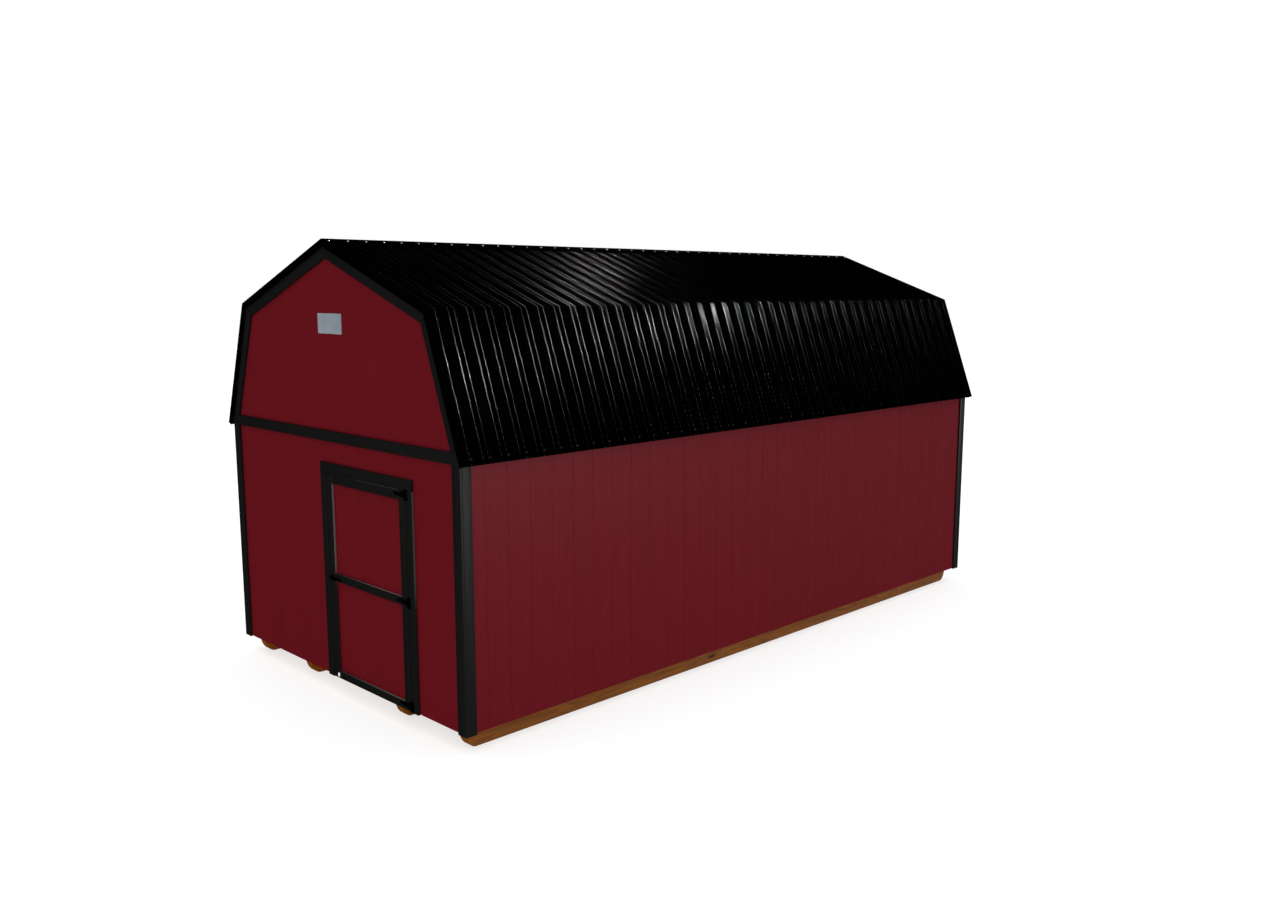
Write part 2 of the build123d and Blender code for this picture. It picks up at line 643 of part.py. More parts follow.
with BuildPart() as hinge_straps:
    for z in HINGE_Z:
        # tapered strap screwed to the leaf of the door
        with BuildSketch(Plane.XZ.offset(-trim_plane_y)):
            Polygon(
                (HINGE_X, z - STRAP_H / 2), (HINGE_X, z + STRAP_H / 2),
                (HINGE_X - 36, z + STRAP_H / 2), (HINGE_X - STRAP_L, z + 12),
                (HINGE_X - STRAP_L, z - 12), (HINGE_X - 36, z - STRAP_H / 2), align=None,
            )
        extrude(amount=HINGE_T)
        with BuildSketch(Plane.XY.offset(z - STRAP_H / 2)):
            with Locations((HINGE_X, Y_HINGE)):
                Circle(KNUCKLE_R)
        extrude(amount=STRAP_H)
        with BuildSketch(Plane.XY.offset(z - STRAP_H / 2 - 1)):
            with Locations((HINGE_X, Y_HINGE)):
                Circle(PIN_R + PIN_CLEAR)
        extrude(amount=STRAP_H + 2, mode=Mode.SUBTRACT)
save(hinge_straps, "hinge_straps")

# ---- lever latch --------------------------------------------------------------------------
with BuildPart() as latch_plate:
    with BuildSketch(Plane.XZ.offset(-trim_plane_y)):
        with Locations((LATCH_X, LATCH_Z)):
            Circle(24)
            Circle(SPINDLE_R + PIN_CLEAR, mode=Mode.SUBTRACT)
    extrude(amount=4)
save(latch_plate, "latch_plate")

with BuildPart() as latch_handle:
    # spindle through the stile, neck and a tapered lever that points at the hinges
    with BuildSketch(Plane.XZ.offset(-(trim_plane_y + 14))):
        with Locations((LATCH_X, LATCH_Z)):
            Circle(SPINDLE_R)
    extrude(amount=14 + 18)
    with BuildSketch(Plane.XZ.offset(-(trim_plane_y - 4.5))):
        with Locations((LATCH_X, LATCH_Z)):
            Circle(13)
    extrude(amount=10)
    with BuildSketch(Plane.XZ.offset(-(trim_plane_y - 13))):
        with Locations((LATCH_X, LATCH_Z)):
            Circle(16)
        with Locations((LATCH_X + 142, LATCH_Z)):
            Circle(7.5)
        make_hull()
    extrude(amount=13)
    fillet(latch_handle.faces().sort_by(Axis.Y)[0].edges(), radius=4)
save(latch_handle, "latch_handle")

# small oval bumper at the foot of the latch stile
with BuildPart() as door_bumper:
    with BuildSketch(Plane.XZ.offset(-trim_plane_y)):
        with Locations((-35, 193)):
            Ellipse(10.5, 18.5)
    extrude(amount=6)
save(door_bumper, "door_bumper")
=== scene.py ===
import bpy
import bmesh
import math
import random
from mathutils import Vector, Matrix


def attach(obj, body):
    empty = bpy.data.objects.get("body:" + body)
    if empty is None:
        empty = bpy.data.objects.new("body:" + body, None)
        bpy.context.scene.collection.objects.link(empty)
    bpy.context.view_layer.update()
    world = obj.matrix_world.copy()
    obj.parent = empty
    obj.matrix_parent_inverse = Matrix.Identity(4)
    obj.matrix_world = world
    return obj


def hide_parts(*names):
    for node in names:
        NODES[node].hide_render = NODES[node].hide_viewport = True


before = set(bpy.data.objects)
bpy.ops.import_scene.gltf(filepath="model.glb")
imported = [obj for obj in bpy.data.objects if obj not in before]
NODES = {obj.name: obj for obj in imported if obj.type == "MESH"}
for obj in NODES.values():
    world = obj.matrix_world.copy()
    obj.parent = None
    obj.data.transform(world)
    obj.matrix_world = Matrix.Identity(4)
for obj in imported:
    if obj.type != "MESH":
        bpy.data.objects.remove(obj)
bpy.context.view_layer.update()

# Lofted barn, seen from its front right corner. Metres, the same frame as the CAD:
# +Y from the front gable to the back gable, +X right, +Z up, floor level at z = 0.

rng = random.Random(7)

# ---- sizes that repeat the construction, in metres -------------------------
XW, YB = 1.805, 3.670
T = 0.012
SB = 0.161
EAVE, KNEE, RIDGE = (1.902, 2.263), (1.485, 3.403), (0.0, 3.948)
ROOF_T, TRIM, TW = 0.058, 0.019, 0.089
OVER = 0.037
FL = 0.002
BELT = (2.254, 2.347)
OPEN = (-0.125, 1.093)
OPEN_TOP = 1.979
DOOR = (-0.119, 1.088)
DOOR_Z = (0.161, 1.974)
HINGE_X, HINGE_Z = 1.0905, (0.206, 1.070, 1.944)
LATCH = (-0.080, 1.063)
YT = -(YB + TRIM)                       # front face of the front trim

low_len = math.hypot(KNEE[0] - EAVE[0], KNEE[1] - EAVE[1])
up_len = math.hypot(RIDGE[0] - KNEE[0], RIDGE[1] - KNEE[1])
d1 = ((KNEE[0] - EAVE[0]) / low_len, (KNEE[1] - EAVE[1]) / low_len)
d2 = ((RIDGE[0] - KNEE[0]) / up_len, (RIDGE[1] - KNEE[1]) / up_len)
n1, n2 = (d1[1], -d1[0]), (d2[1], -d2[0])
MITRE = 0.4637


def low(s, t):
    return (EAVE[0] + s * d1[0] - t * n1[0], EAVE[1] + s * d1[1] - t * n1[1])


def up(s, t):
    return (KNEE[0] + s * d2[0] - t * n2[0], KNEE[1] + s * d2[1] - t * n2[1])


def knee(t):
    bx, bz = n1[0] + n2[0], n1[1] + n2[1]
    k = 2 * t / (bx * bx + bz * bz)
    return (KNEE[0] - bx * k, KNEE[1] - bz * k)


def roof_z(x, t):
    """Height of the roof's offset surface above half-width |x|."""
    x = abs(x)
    if x <= knee(t)[0]:
        x0, z0 = up(0, t)
        return z0 + (x0 - x) / -d2[0] * d2[1]
    x0, z0 = low(0, t)
    return z0 + (x0 - x) / -d1[0] * d1[1]


def low_at_z(z, t):
    x0, z0 = low(0, t)
    return x0 + (z - z0) / d1[1] * d1[0]


# ---- material helpers ----------------------------------------------------------
def new_mat(name):
    m = bpy.data.materials.new(name)
    m.use_nodes = True
    nt = m.node_tree
    b = nt.nodes["Principled BSDF"]
    return m, nt, b


def N(nt, kind, **kw):
    n = nt.nodes.new(kind)
    for k, v in kw.items():
        setattr(n, k, v)
    return n


def coords(nt, source, scale, rot=(0, 0, 0), loc=(0, 0, 0)):
    """Texture space: 'object' for the row frame, or a stored vector attribute."""
    if source == "object":
        c = N(nt, "ShaderNodeTexCoord").outputs["Object"]
    else:
        c = N(nt, "ShaderNodeAttribute", attribute_name=source).outputs["Vector"]
    mp = N(nt, "ShaderNodeMapping")
    mp.inputs["Scale"].default_value = scale
    mp.inputs["Rotation"].default_value = rot
    mp.inputs["Location"].default_value = loc
    nt.links.new(c, mp.inputs["Vector"])
    return mp.outputs["Vector"]


def noise(nt, vec, scale=1.0, detail=4.0, rough=0.55, distortion=0.0):
    n = N(nt, "ShaderNodeTexNoise")
    n.inputs["Scale"].default_value = scale
    n.inputs["Detail"].default_value = detail
    n.inputs["Roughness"].default_value = rough
    n.inputs["Distortion"].default_value = distortion
    nt.links.new(vec, n.inputs["Vector"])
    return n.outputs["Fac"]


def remap(nt, val, a, b, c, d, smooth=False):
    n = N(nt, "ShaderNodeMapRange")
    if smooth:
        n.interpolation_type = "SMOOTHSTEP"
    n.inputs["From Min"].default_value = a
    n.inputs["From Max"].default_value = b
    n.inputs["To Min"].default_value = c
    n.inputs["To Max"].default_value = d
    nt.links.new(val, n.inputs["Value"])
    return n.outputs["Result"]


def math_node(nt, op, a, b=None):
    n = N(nt, "ShaderNodeMath", operation=op)
    for i, v in enumerate((a, b)):
        if v is None:
            continue
        if isinstance(v, (int, float)):
            n.inputs[i].default_value = v
        else:
            nt.links.new(v, n.inputs[i])
    return n.outputs[0]


def mix_col(nt, fac, a, b, mode="MIX"):
    n = N(nt, "ShaderNodeMix", data_type="RGBA", blend_type=mode)
    for sock, v in ((0, fac), (6, a), (7, b)):
        if isinstance(v, (int, float)):
            n.inputs[sock].default_value = v
        elif isinstance(v, tuple):
            n.inputs[sock].default_value = (*v, 1.0)
        else:
            nt.links.new(v, n.inputs[sock])
    return n.outputs[2]


def bump(nt, bsdf, layers):
    """Chain of bumps: (height, strength, distance in metres)."""
    prev = None
    for h, strength, dist in layers:
        b = N(nt, "ShaderNodeBump")
        b.inputs["Strength"].default_value = strength
        b.inputs["Distance"].default_value = dist
        nt.links.new(h, b.inputs["Height"])
        if prev is not None:
            nt.links.new(prev, b.inputs["Normal"])
        prev = b.outputs["Normal"]
    nt.links.new(prev, bsdf.inputs["Normal"])


def painted_wood(name, base, source, along, rough=0.5, spec=0.1, depth=0.0006, vary=0.12, fine=260.0, tint=(1, 1, 1)):
    """Painted timber: grain runs along axis `along` (0, 1 or 2) of the texture space."""
    m, nt, b = new_mat(name)

    def sc(across, lengthwise):
        s = [across] * 3
        s[along] = lengthwise
        return tuple(s)

    warp = noise(nt, coords(nt, source, sc(6.0, 1.6)), 1.0, 2.0)
    v = coords(nt, source, sc(fine, 5.0))
    add = N(nt, "ShaderNodeVectorMath", operation="MULTIPLY_ADD")
    comb = N(nt, "ShaderNodeCombineXYZ")
    for i in range(3):
        if i != along:
            nt.links.new(warp, comb.inputs[i])
    nt.links.new(comb.outputs[0], add.inputs[0])
    add.inputs[1].default_value = (9.0, 9.0, 9.0)
    nt.links.new(v, add.inputs[2])
    grain = noise(nt, add.outputs[0], 1.0, 5.0, 0.6)
    streak = noise(nt, coords(nt, source, sc(34.0, 0.9)), 1.0, 3.0, 0.5)
    patch = noise(nt, coords(nt, source, sc(2.2, 0.7)), 1.0, 2.0)
    k = math_node(nt, "ADD", math_node(nt, "MULTIPLY", streak, 0.55), math_node(nt, "MULTIPLY", grain, 0.45))
    lo = tuple(c * (1 - vary) for c in base)
    hi = tuple(min(1, c * (1 + vary)) for c in base)
    col = mix_col(nt, remap(nt, k, 0.3, 0.7, 0.0, 1.0), lo, hi)
    col = mix_col(nt, remap(nt, patch, 0.35, 0.65, 0.0, 0.35), col, tuple(c * (1 + vary * 0.8) for c in base))
    nt.links.new(col, b.inputs["Base Color"])
    nt.links.new(remap(nt, grain, 0.3, 0.7, rough - 0.05, rough + 0.09), b.inputs["Roughness"])
    b.inputs["Specular IOR Level"].default_value = spec
    b.inputs["Specular Tint"].default_value = (*tint, 1.0)
    bump(nt, b, [(streak, 0.35, depth * 2.0), (grain, 0.7, depth)])
    return m


def bare_wood(name, light, dark, source, along, rough=0.7, knots=True, spec=0.25, ring=22.0, rot=(0, 0, 0), knot_col=None, depth=0.0006, dark_past_walls=False):
    """Unpainted softwood: long grain, ring bands and knots that bend the grain.
    dark_past_walls: black from 95 mm inside the gable walls and 10 mm inside the long walls outwards."""
    m, nt, b = new_mat(name)

    def sc(across, lengthwise):
        s = [across] * 3
        s[along] = lengthwise
        return tuple(s)

    vec = coords(nt, source, sc(1.0, 1.0), rot=rot)
    # knots: sparse cells stretched a little along the grain
    kn = N(nt, "ShaderNodeTexVoronoi", feature="F1")
    kn.inputs["Scale"].default_value = 1.0
    kn.inputs["Randomness"].default_value = 0.9
    ks = N(nt, "ShaderNodeVectorMath", operation="MULTIPLY")
    ks.inputs[1].default_value = sc(5.2, 1.55)
    nt.links.new(vec, ks.inputs[0])
    nt.links.new(ks.outputs[0], kn.inputs["Vector"])
    dist = kn.outputs["Distance"]
    near = remap(nt, dist, 0.0, 0.34, 1.0, 0.0, smooth=True)
    core = remap(nt, dist, 0.045, 0.085, 1.0, 0.0, smooth=True)
    # ring bands, pushed aside round the knots
    rs = N(nt, "ShaderNodeVectorMath", operation="MULTIPLY")
    rs.inputs[1].default_value = sc(ring, 0.9)
    nt.links.new(vec, rs.inputs[0])
    push = N(nt, "ShaderNodeVectorMath", operation="MULTIPLY_ADD")
    comb = N(nt, "ShaderNodeCombineXYZ")
    for i in range(3):
        if i != along:
            nt.links.new(near, comb.inputs[i])
    nt.links.new(comb.outputs[0], push.inputs[0])
    push.inputs[1].default_value = (1.5, 1.5, 1.5)
    nt.links.new(rs.outputs[0], push.inputs[2])
    rings = noise(nt, push.outputs[0], 1.0, 2.0, 0.45, 0.6)
    fold = math_node(nt, "FRACT", math_node(nt, "MULTIPLY", rings, 7.0))
    band = math_node(nt, "ABSOLUTE", math_node(nt, "SUBTRACT", fold, 0.5))
    fibre = noise(nt, coords(nt, source, sc(420.0, 7.0), rot=rot), 1.0, 3.0, 0.6)
    tone = noise(nt, coords(nt, source, sc(3.0, 0.45), rot=rot), 1.0, 2.0)
    f = math_node(nt, "ADD", math_node(nt, "MULTIPLY", band, 1.15), math_node(nt, "MULTIPLY", fibre, 0.35))
    col = mix_col(nt, remap(nt, f, 0.1, 0.85, 0.0, 1.0), dark, light)
    col = mix_col(nt, remap(nt, tone, 0.3, 0.7, 0.0, 0.3), col, tuple((a + c) / 2 * 0.82 for a, c in zip(light, dark)))
    if knots:
        kc = knot_col or tuple(c * 0.35 for c in dark)
        col = mix_col(nt, remap(nt, dist, 0.05, 0.17, 0.55, 0.0, smooth=True), col, tuple(c * 0.7 for c in dark))
        col = mix_col(nt, math_node(nt, "MULTIPLY", core, 0.9), col, kc)
    # the timber turns black from 95 mm inside the gable walls and 10 mm inside the long walls outwards
    if dark_past_walls:
        xyz = N(nt, "ShaderNodeSeparateXYZ")
        nt.links.new(N(nt, "ShaderNodeTexCoord").outputs["Object"], xyz.inputs[0])
        past_y = math_node(nt, "GREATER_THAN", math_node(nt, "ABSOLUTE", xyz.outputs["Y"]), YB - 0.095)
        past_x = math_node(nt, "GREATER_THAN", math_node(nt, "ABSOLUTE", xyz.outputs["X"]), XW - 0.010)
        col = mix_col(nt, math_node(nt, "MAXIMUM", past_y, past_x), col, (0.0035, 0.0036, 0.0035))
    nt.links.new(col, b.inputs["Base Color"])
    nt.links.new(remap(nt, fibre, 0.3, 0.7, rough - 0.08, rough + 0.1), b.inputs["Roughness"])
    b.inputs["Specular IOR Level"].default_value = spec
    bump(nt, b, [(band, 0.3, depth), (fibre, 0.6, depth)])
    return m


def panel_wood(name, light, dark, rough=0.75):
    """Rotary-cut plywood: broad wandering figure and fine fibre along X."""
    m, nt, b = new_mat(name)
    fig = noise(nt, coords(nt, "object", (1.1, 5.0, 5.0)), 1.0, 3.0, 0.5, 1.2)
    band = math_node(nt, "ABSOLUTE", math_node(nt, "SUBTRACT", math_node(nt, "FRACT", math_node(nt, "MULTIPLY", fig, 6.0)), 0.5))
    fibre = noise(nt, coords(nt, "object", (8.0, 380.0, 380.0)), 1.0, 3.0, 0.6)
    f = math_node(nt, "ADD", math_node(nt, "MULTIPLY", band, 0.9), math_node(nt, "MULTIPLY", fibre, 0.5))
    col = mix_col(nt, remap(nt, f, 0.1, 0.9, 0.0, 1.0), dark, light)
    nt.links.new(col, b.inputs["Base Color"])
    nt.links.new(remap(nt, fibre, 0.3, 0.7, rough - 0.08, rough + 0.08), b.inputs["Roughness"])
    b.inputs["Specular IOR Level"].default_value = 0.2
    bump(nt, b, [(band, 0.2, 0.0005), (fibre, 0.5, 0.0005)])
    return m


def roof_paint(name, rough, spec, wavy=0.25, dots=False):
    """Black coated steel: dusty in the pans (spec 0), clean and glossy on the ribs,
    slightly wavy and, on the rolled beads, matt between the short bright marks that
    the rollers leave along the slope."""
    m, nt, b = new_mat(name)
    dust = noise(nt, coords(nt, "object", (3.0, 3.0, 3.0)), 1.0, 5.0, 0.6)
    fine = noise(nt, coords(nt, "object", (900.0, 900.0, 900.0)), 1.0, 2.0, 0.5)
    wave = noise(nt, coords(nt, "object", (5.0, 9.0, 5.0)), 1.0, 2.0, 0.5)
    col = mix_col(nt, remap(nt, dust, 0.35, 0.7, 0.0, 1.0), (0.00022, 0.00022, 0.00024), (0.0006, 0.0006, 0.00062))
    if spec:
        b.inputs["Base Color"].default_value = (0.0, 0.0, 0.0, 1.0)
    else:
        nt.links.new(col, b.inputs["Base Color"])
    nt.links.new(remap(nt, dust, 0.3, 0.7, rough * 0.9, rough * 1.15), b.inputs["Roughness"])
    b.inputs["Specular IOR Level"].default_value = spec
    if dots:
        along = N(nt, "ShaderNodeAttribute", attribute_name="along").outputs["Fac"]
        saw = math_node(nt, "FRACT", math_node(nt, "MULTIPLY", along, 1 / 0.045))
        tri = math_node(nt, "ABSOLUTE", math_node(nt, "SUBTRACT", math_node(nt, "MULTIPLY", saw, 2.0), 1.0))
        nt.links.new(remap(nt, tri, 0.40, 0.60, spec * 0.06, spec), b.inputs["Specular IOR Level"])
        bump(nt, b, [(fine, 0.05, 0.0001)])
    else:
        bump(nt, b, [(wave, wavy, 0.0012), (fine, 0.05, 0.0001)])
    return m


def metal_paint(name, base, rough, spec=0.4, grit=0.25):
    m, nt, b = new_mat(name)
    g = noise(nt, coords(nt, "object", (700.0, 700.0, 700.0)), 1.0, 3.0, 0.6)
    d = noise(nt, coords(nt, "object", (25.0, 25.0, 25.0)), 1.0, 3.0, 0.6)
    col = mix_col(nt, remap(nt, d, 0.35, 0.65, 0.0, 1.0), tuple(c * 0.75 for c in base), tuple(c * 1.3 for c in base))
    nt.links.new(col, b.inputs["Base Color"])
    nt.links.new(remap(nt, d, 0.3, 0.7, rough - 0.06, rough + 0.08), b.inputs["Roughness"])
    b.inputs["Specular IOR Level"].default_value = spec
    bump(nt, b, [(g, grit, 0.0002)])
    return m


def plate_paint(name, base):
    """Brushed pale sheet metal."""
    m, nt, b = new_mat(name)
    brush = noise(nt, coords(nt, "object", (14.0, 900.0, 900.0)), 1.0, 3.0, 0.6)
    cloud = noise(nt, coords(nt, "object", (9.0, 9.0, 9.0)), 1.0, 3.0, 0.5)
    f = math_node(nt, "ADD", math_node(nt, "MULTIPLY", brush, 0.5), math_node(nt, "MULTIPLY", cloud, 0.5))
    col = mix_col(nt, remap(nt, f, 0.3, 0.7, 0.0, 1.0), tuple(c * 0.86 for c in base), tuple(c * 1.12 for c in base))
    nt.links.new(col, b.inputs["Base Color"])
    nt.links.new(remap(nt, brush, 0.3, 0.7, 0.38, 0.52), b.inputs["Roughness"])
    b.inputs["Metallic"].default_value = 0.25
    b.inputs["Specular IOR Level"].default_value = 0.4
    bump(nt, b, [(brush, 0.3, 0.0001)])
    return m


# linear base colours
RED = (0.1040, 0.0049, 0.0086)
BLACK = (0.0066, 0.0070, 0.0065)

M_SIDING = painted_wood("siding_red", RED, "object", 2, rough=0.32, spec=0.008, depth=0.0003, vary=0.10, tint=(1.0, 0.48, 0.53))


def lit_edge_paint(name, base, axis, a, b, least):
    """Pale board edge, a painted highlight where an edge faces the light; along the given axis of the object it fades
    back to the black paint from b down to a."""
    m = painted_wood(name, base, "grain", 0, rough=0.6, spec=0.02, depth=0.0003, vary=0.3)
    nt = m.node_tree
    bsdf = [n for n in nt.nodes if n.type == "BSDF_PRINCIPLED"][0]
    src = bsdf.inputs["Base Color"].links[0].from_socket
    xyz = N(nt, "ShaderNodeSeparateXYZ")
    nt.links.new(N(nt, "ShaderNodeTexCoord").outputs["Object"], xyz.inputs[0])
    col = mix_col(nt, remap(nt, xyz.outputs[axis], a, b, least, 1.0, smooth=True), BLACK, src)
    nt.links.new(col, bsdf.inputs["Base Color"])
    return m


# painted highlights on edges that face the light: the latch stile's and right casing's +X sides, full above z 1.20 and
# 1.30, and the rails' top edges, brighter to the right
M_STILE_EDGE_HIGHLIGHT = lit_edge_paint("stile_edge_painted_highlight", (0.118, 0.088, 0.088), "Z", 0.95, 1.20, 0.05)
M_CASING_EDGE_HIGHLIGHT = lit_edge_paint("casing_edge_painted_highlight", (0.060, 0.048, 0.048), "Z", 0.95, 1.30, 0.05)
M_RAIL_EDGE_HIGHLIGHT = lit_edge_paint("rail_edge_painted_highlight", (0.140, 0.104, 0.104), "X", -0.05, 0.95, 0.25)
M_TRIM_LOCAL = painted_wood("trim_black_boards", BLACK, "grain", 0, rough=0.5, spec=0.006, depth=0.0002, vary=0.16)
M_ROOF = roof_paint("roof_black_pan", 0.6, 0.0)
M_CROWN = roof_paint("roof_black_crown", 0.065, 0.00008, 0.12)
M_RIB = {"lower": roof_paint("roof_black_rib_bead_low", 0.122, 0.020, 0.0, dots=True),
         "upper": roof_paint("roof_black_rib_bead_up", 0.17, 0.0017, 0.0, dots=True)}
M_FLASH = roof_paint("roof_black_flashing", 0.6, 0.0)
M_HARD = metal_paint("hardware_black", (0.0009, 0.0009, 0.0009), 0.4, spec=0.03)
M_SCREW = metal_paint("screw_black", (0.0010, 0.0010, 0.0010), 0.38, spec=0.006)
M_ZINC = metal_paint("screw_zinc", (0.42, 0.43, 0.45), 0.4, spec=0.3)
M_PLATE = plate_paint("plate_pale_metal", (0.285, 0.332, 0.380))
M_RIVET = metal_paint("rivet_grey", (0.30, 0.34, 0.38), 0.4, spec=0.4)
M_BUMPER = metal_paint("bumper_white_rubber", (0.80, 0.80, 0.78), 0.55, spec=0.3)
PINE_L, PINE_D = (0.56, 0.40, 0.23), (0.36, 0.22, 0.105)
M_STUD_Z = bare_wood("framing_upright", PINE_L, PINE_D, "object", 2)
M_FRAME_Y = bare_wood("framing_lengthwise", PINE_L, PINE_D, "object", 1, dark_past_walls=True)
M_FRAME_X = bare_wood("framing_crosswise", PINE_L, PINE_D, "object", 0)
M_DECK = panel_wood("floor_plywood", (0.50, 0.35, 0.20), (0.33, 0.21, 0.11))
M_SIDING_BACK = panel_wood("siding_back", (0.46, 0.32, 0.19), (0.30, 0.19, 0.105))
M_GUSSET = panel_wood("gusset_plywood", (0.50, 0.35, 0.20), (0.33, 0.21, 0.11))
M_SKID = bare_wood("skid_treated", (0.228, 0.076, 0.0068), (0.115, 0.034, 0.0029), "object", 1, rough=0.7, spec=0.01, ring=16.0,
                   knot_col=(0.022, 0.006, 0.0015), depth=0.0009)


# ---- mesh helpers -----------------------------------------------------------------
def add_mesh(name, verts, faces, mat, body, replaces=(), smooth_angle=None, attrs=None):
    me = bpy.data.meshes.new(name)
    me.from_pydata([tuple(v) for v in verts], [], faces)
    me.validate()
    for an, (kind, values) in (attrs or {}).items():
        at = me.attributes.new(an, kind, "POINT")
        if kind == "FLOAT":
            at.data.foreach_set("value", values)
        else:
            at.data.foreach_set("vector", [c for v in values for c in v])
    bm = bmesh.new()
    bm.from_mesh(me)
    bmesh.ops.recalc_face_normals(bm, faces=bm.faces)
    bm.to_mesh(me)
    bm.free()
    if smooth_angle is not None:
        for p in me.polygons:
            p.use_smooth = True
        me.set_sharp_from_angle(angle=math.radians(smooth_angle))
    me.materials.append(mat)
    o = bpy.data.objects.new(name, me)
    bpy.context.scene.collection.objects.link(o)
    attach(o, body)
    if replaces:
        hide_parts(*replaces)
    return o


class Boards:
    """Joins bevelled boards into one mesh, each with its own grain space."""

    def __init__(self):
        self.bm = bmesh.new()
        self.layer = self.bm.verts.layers.float_vector.new("grain")

    def add(self, origin, along, across, outline, depth, edge=0.0016, segs=2):
        """outline: (a, b) points in the plane of along and across; the board
        grows by depth on the side of along x across."""
        a, b = Vector(along).normalized(), Vector(across).normalized()
        c = a.cross(b)
        o = Vector(origin)
        t = bmesh.new()
        lay = t.verts.layers.float_vector.new("grain")
        base = [t.verts.new(o + a * p + b * q) for p, q in outline]
        top = [t.verts.new(o + a * p + b * q + c * depth) for p, q in outline]
        t.faces.new(base[::-1])
        t.faces.new(top)
        k = len(outline)
        for i in range(k):
            t.faces.new((base[i], base[(i + 1) % k], top[(i + 1) % k], top[i]))
        bmesh.ops.recalc_face_normals(t, faces=t.faces)
        if edge:
            bmesh.ops.bevel(t, geom=list(t.edges), offset=edge, offset_type="OFFSET", segments=segs, profile=0.5, affect="EDGES")
        shift = Vector((rng.uniform(0, 40), rng.uniform(0, 40), rng.uniform(0, 40)))
        for v in t.verts:
            d = v.co - o
            v[lay] = Vector((d.dot(a), d.dot(b), d.dot(c))) + shift
        me = bpy.data.meshes.new("tmp")
        t.to_mesh(me)
        t.free()
        self.bm.from_mesh(me)
        bpy.data.meshes.remove(me)

    def finish(self, name, mat, body, replaces=(), highlight_mat=None, sides="xz", highlight_to=9.0):
        me = bpy.data.meshes.new(name)
        self.bm.to_mesh(me)
        self.bm.free()
        for p in me.polygons:
            p.use_smooth = True
        me.set_sharp_from_angle(angle=math.radians(50))
        me.materials.append(mat)
        # painted highlight: the side faces that point to +X or up, toward the light, left of x = highlight_to, take
        # the second material
        if highlight_mat:
            me.materials.append(highlight_mat)
            for p in me.polygons:
                if p.center.x < highlight_to and (("x" in sides and p.normal.x > 0.6) or ("z" in sides and p.normal.z > 0.6)):
                    p.material_index = 1
        o = bpy.data.objects.new(name, me)
        bpy.context.scene.collection.objects.link(o)
        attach(o, body)
        if replaces:
            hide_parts(*replaces)
        return o


def rect(a0, a1, b0, b1):
    return [(a0, b0), (a1, b0), (a1, b1), (a0, b1)]


# ---- grooved siding ------------------------------------------------------------------
GROOVE_W, GROOVE_D, GROOVE_P = 0.0075, 0.0017, 0.2212


def groove_line(u0, u1, first, extra=()):
    """(u, depth) points across a panel from u0 to u1, with grooves every pitch.
    With first = None the panel is plain."""
    pts = [(u0, 0.0), (u1, 0.0)] + [(e, None) for e in extra]
    g = u1 if first is None else first
    marks = []
    while g < u1 - 0.02:
        if g > u0 + 0.02:
            marks.append(g)
            pts += [(g - GROOVE_W / 2, 0.0), (g - GROOVE_W / 2 + 0.0018, GROOVE_D),
                    (g + GROOVE_W / 2 - 0.0018, GROOVE_D), (g + GROOVE_W / 2, 0.0)]
        g += GROOVE_P
    out = []
    for u, d in sorted(pts, key=lambda p: p[0]):
        if d is None:
            # a break point takes the depth that the groove has there
            d = 0.0
            for m in marks:
                if abs(u - m) < GROOVE_W / 2 - 0.0018:
                    d = GROOVE_D
                elif abs(u - m) < GROOVE_W / 2:
                    d = GROOVE_D * (GROOVE_W / 2 - abs(u - m)) / 0.0018
        if out and abs(out[-1][0] - u) < 1e-6:
            continue
        out.append((u, d))
    return out


def grid_panel(name, line, levels, present, place, body, replaces, mat):
    """Closed panel from a cross-section line and z levels. levels are functions of u.
    place(u, z, depth) gives the point; depth 0 is the outer face and T the back,
    which is left bare."""
    verts, index, faces, bare = [], {}, [], []

    def vid(i, j, back):
        key = (i, j, back)
        if key not in index:
            u, d = line[i]
            index[key] = len(verts)
            verts.append(place(u, levels[j](u), T if back else d))
        return index[key]

    nu, nz = len(line) - 1, len(levels) - 1
    cell = {(i, j): present((line[i][0] + line[i + 1][0]) / 2, j) for i in range(nu) for j in range(nz)}
    for (i, j), on in cell.items():
        if not on:
            continue
        f = [vid(i, j, 0), vid(i + 1, j, 0), vid(i + 1, j + 1, 0), vid(i, j + 1, 0)]
        b = [vid(i, j, 1), vid(i + 1, j, 1), vid(i + 1, j + 1, 1), vid(i, j + 1, 1)]
        faces.append(f)
        faces.append(b[::-1])
        bare += [0, 1]
        for k, nb in enumerate(((i, j - 1), (i + 1, j), (i, j + 1), (i - 1, j))):
            if not cell.get(nb, False):
                faces.append([f[k], b[k], b[(k + 1) % 4], f[(k + 1) % 4]])
                bare.append(0)
    o = add_mesh(name, verts, faces, mat, body, replaces)
    o.data.materials.append(M_SIDING_BACK)
    for poly, b in zip(o.data.polygons, bare):
        poly.material_index = b
    return o


WALL_TOP = 2.340
for side, sx in (("right", 1), ("left", -1)):
    line = groove_line(-YB + T, YB - T, -YB + 0.218)
    grid_panel(
        f"{side}_wall_panels", line, [lambda u: SB, lambda u: WALL_TOP], lambda u, j: True,
        lambda u, z, d, sx=sx: (sx * (XW - d), u, z), "structure",
        (f"{side}_wall_siding",), M_SIDING,
    )

KX = knee(ROOF_T)[0]


def gable_top(u):
    return roof_z(u, ROOF_T + 0.0003)


